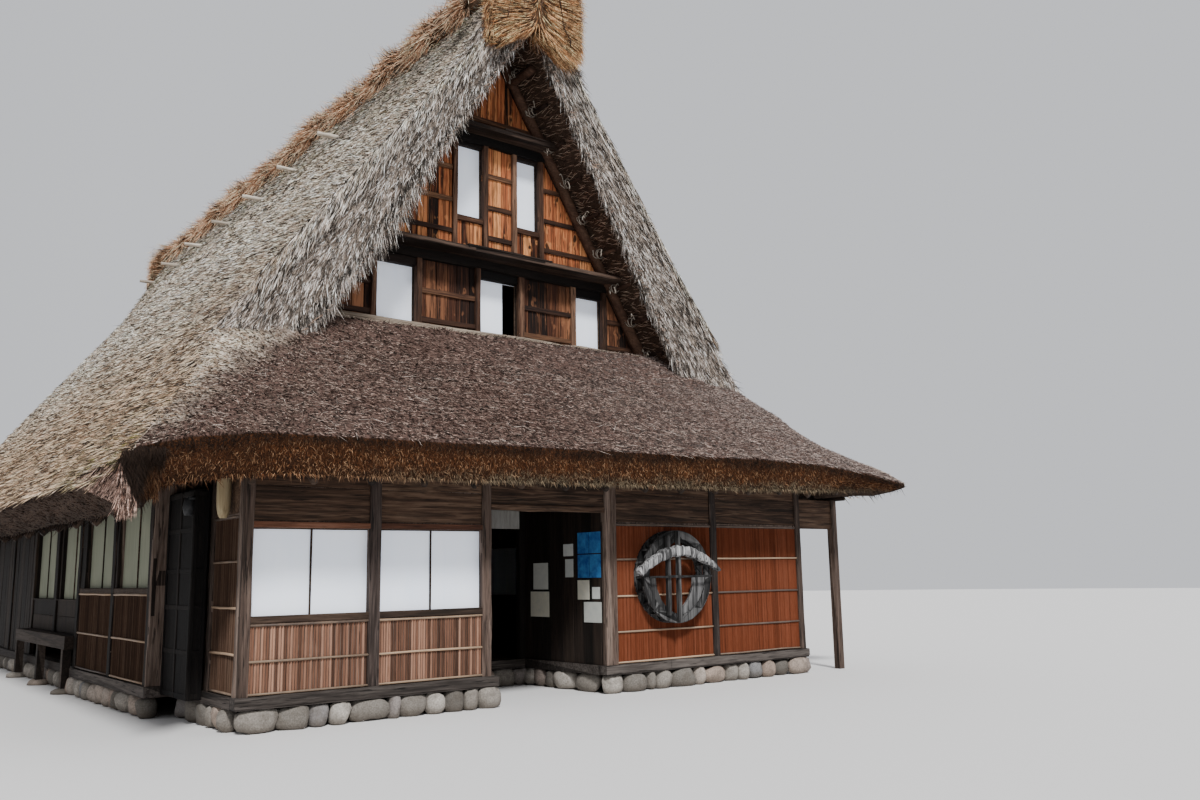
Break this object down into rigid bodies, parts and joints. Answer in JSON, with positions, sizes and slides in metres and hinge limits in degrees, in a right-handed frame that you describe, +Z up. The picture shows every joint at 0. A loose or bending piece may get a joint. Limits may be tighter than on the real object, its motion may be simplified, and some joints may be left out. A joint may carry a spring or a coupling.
{
  "type": "minka farmhouse",
  "caption": "Farmhouse with a steep straw thatched roof, skirt roofs under both gables, reed and board walls with paper windows, an open entrance recess and a wooden wheel on the front",
  "frame": {"origin": "on the ground under the middle of the roof", "axes": "+X to the right along the entrance front, +Y from the front to the back along the ridge, +Z up"},
  "size_m": [11.2, 20.2, 10.42],
  "materials": {
    "thatch": "weathered grey straw thatch, combed down the slope",
    "skirt_thatch": "darker brown-grey thatch with a rust-brown cut edge",
    "ridge_straw": "shaggy reddish-tan straw bundle",
    "timber": "weathered dark brown timber",
    "floor_board": "plain worn floor boards",
    "reed_panel": "red-brown reed panels between dark posts, held by bamboo battens",
    "gable_board": "orange-brown planks with dark streaks",
    "dark_board": "nearly black smoked boards",
    "sill_wood": "grey-brown weathered beam",
    "river_stone": "rounded grey river stones",
    "shoji_paper": "bluish white paper",
    "wheel_wood": "silver-grey weathered wood"
  },
  "bodies": {
    "root": {"left_thatch": "thatch", "right_thatch": "thatch", "front_skirt_thatch": "skirt_thatch", "back_skirt_thatch": "skirt_thatch", "ridge_bundle": "ridge_straw", "front_ridge_cap": "ridge_straw", "back_ridge_cap": "ridge_straw", "entrance_lintel": "timber", "wing_board": "timber", "veranda_edge": "timber", "right_eave_posts": "timber", "rafter_frame_1": "timber", "rafter_frame_2": "timber", "rafter_frame_3": "timber", "rafter_frame_4": "timber", "rafter_frame_5": "timber", "ground_floor": "floor_board", "lower_attic_floor": "floor_board", "upper_attic_floor": "floor_board", "front_wall_left": "reed_panel", "front_wall_right": "reed_panel", "corner_wall": "reed_panel", "bay_wall": "reed_panel", "right_wall": "reed_panel", "back_wall": "reed_panel", "front_gable_wall": "gable_board", "back_gable_wall": "gable_board", "porch_wall_left": "dark_board", "porch_wall_right": "dark_board", "porch_door_frame": "dark_board", "shutter_case": "dark_board", "veranda_wall": "dark_board", "left_rear_wall": "dark_board", "front_lower_ledge": "dark_board", "front_upper_ledge": "dark_board", "back_lower_ledge": "dark_board", "back_upper_ledge": "dark_board", "front_sill_left": "sill_wood", "front_sill_right": "sill_wood", "left_sill": "sill_wood", "right_sill": "sill_wood", "back_sill": "sill_wood", "front_gable_sill": "sill_wood", "back_gable_sill": "sill_wood", "left_stones": "river_stone", "front_stones": "river_stone", "right_stones": "river_stone", "front_shoji": "shoji_paper", "bay_shoji": "shoji_paper", "veranda_shoji": "shoji_paper", "right_shoji": "shoji_paper", "back_shoji": "shoji_paper", "front_gable_shoji_lower": "shoji_paper", "front_gable_shoji_upper": "shoji_paper", "back_gable_shoji_lower": "shoji_paper", "back_gable_shoji_upper": "shoji_paper", "wheel_rim": "wheel_wood", "wheel_felloe": "wheel_wood", "wheel_spokes": "wheel_wood"}
  },
  "joints": []
}
